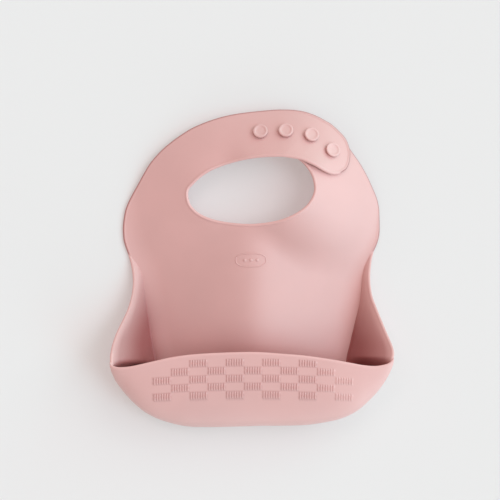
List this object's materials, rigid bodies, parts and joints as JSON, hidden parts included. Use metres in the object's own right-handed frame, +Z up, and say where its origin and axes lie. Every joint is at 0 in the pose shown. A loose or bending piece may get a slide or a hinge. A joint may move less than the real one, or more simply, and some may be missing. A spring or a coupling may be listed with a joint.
{
  "type": "silicone bib with catch pocket",
  "caption": "Soft silicone baby bib with an open catch pocket along its lower edge and a neck band whose overlapping straps button together.",
  "frame": {"origin": "middle of the bounding box in X and Y, on the surface that the bib lies on", "axes": "the bib lies on its back: +X runs across it towards the side of the strap below, +Y runs from the pocket to the neck, +Z points up, away from the child's chest"},
  "size_m": [0.2496, 0.283, 0.0516],
  "materials": {
    "silicone_sheet": "soft matt pink silicone",
    "silicone_stud": "soft matt pink silicone"
  },
  "bodies": {
    "panel": {"chest_panel": "silicone_sheet", "left_gusset": "silicone_sheet", "right_gusset": "silicone_sheet"},
    "pocket": {"pocket_front": "silicone_sheet"},
    "over_root": {"over_strap_root": "silicone_sheet"},
    "over_middle": {"over_strap_middle": "silicone_sheet"},
    "over_tab": {"over_strap_tab": "silicone_sheet"},
    "under": {"under_strap": "silicone_sheet", "closure_stud_1": "silicone_stud", "closure_stud_2": "silicone_stud", "closure_stud_3": "silicone_stud", "closure_stud_4": "silicone_stud"}
  },
  "joints": [
    {"name": "pocket_open", "type": "hinge", "parent": "panel", "child": "pocket", "pos_m": [0, -0.12114, 0], "axis": [1, 0, 0], "range_deg": [0, 25]},
    {"name": "over_strap_lift", "type": "hinge", "parent": "panel", "child": "over_root", "pos_m": [-0.08132, 0.06856, 0.00915], "axis": [0.9636, 0, 0.2675], "range_deg": [0, 40]},
    {"name": "over_strap_bend_middle", "type": "hinge", "parent": "over_root", "child": "over_middle", "pos_m": [-0.03163, 0.11077, 0.01543], "axis": [0.5664, -0.7796, 0.2673], "range_deg": [0, 40]},
    {"name": "over_strap_bend_tab", "type": "hinge", "parent": "over_middle", "child": "over_tab", "pos_m": [-0.0086, 0.11679, 0.01787], "axis": [0.1472, -0.9293, 0.3386], "range_deg": [0, 40]},
    {"name": "under_strap_flex", "type": "hinge", "parent": "panel", "child": "under", "pos_m": [0.08183, 0.06856, 0.01809], "axis": [0.9015, 0, -0.4327], "range_deg": [-60, 0]}
  ],
  "couplings": [
    {"joint": "over_strap_bend_middle", "follows": "over_strap_lift", "ratio": 1},
    {"joint": "over_strap_bend_tab", "follows": "over_strap_lift", "ratio": 1}
  ]
}
